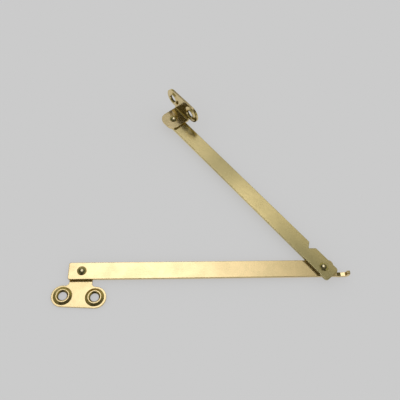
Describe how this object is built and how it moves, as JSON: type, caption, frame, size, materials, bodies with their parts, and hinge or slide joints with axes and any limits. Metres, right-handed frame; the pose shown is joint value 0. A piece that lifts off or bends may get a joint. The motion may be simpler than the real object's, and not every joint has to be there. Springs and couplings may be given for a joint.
{
  "type": "folding stay",
  "caption": "Folding stay for a cabinet flap: flat arms riveted at an elbow, with a turned-up stop finger that closes in a notch, between a flat screw plate and a square-bent screw bracket.",
  "frame": {"origin": "midway between the side plate's screw holes, on the side plate's back face", "axes": "+X along the side plate's hole line toward the elbow, +Y from the hole line to the side plate's rivet, +Z out of the face that the back is screwed to"},
  "size_m": [0.1578, 0.1395, 0.0198],
  "materials": {
    "plate_brass": "bright plated sheet, fine tumbled texture",
    "arm_brass": "bright plated strip, faint lengthwise grain",
    "rivet_brass": "bright plated, formed heads"
  },
  "bodies": {
    "side_plate": {"side_plate": "plate_brass", "side_plate_rivet": "rivet_brass"},
    "lower_arm": {"lower_arm": "arm_brass", "elbow_rivet": "rivet_brass"},
    "upper_arm": {"upper_arm": "arm_brass", "flap_bracket_rivet": "rivet_brass"},
    "flap_bracket": {"flap_bracket": "plate_brass"}
  },
  "joints": [
    {"name": "side_plate_pivot", "type": "hinge", "parent": "side_plate", "child": "lower_arm", "pos_m": [0, 0.0135, 0.0025], "axis": [0, 0, 1], "range_deg": [-25, 198]},
    {"name": "elbow", "type": "hinge", "parent": "lower_arm", "child": "upper_arm", "pos_m": [0.12978, 0.02098, 0.0046], "axis": [0, 0, 1], "range_deg": [-128.4, 47]},
    {"name": "flap_bracket_pivot", "type": "hinge", "parent": "upper_arm", "child": "flap_bracket", "pos_m": [0.0433, 0.11805, 0.00605], "axis": [0, 0, 1], "continuous": true}
  ]
}
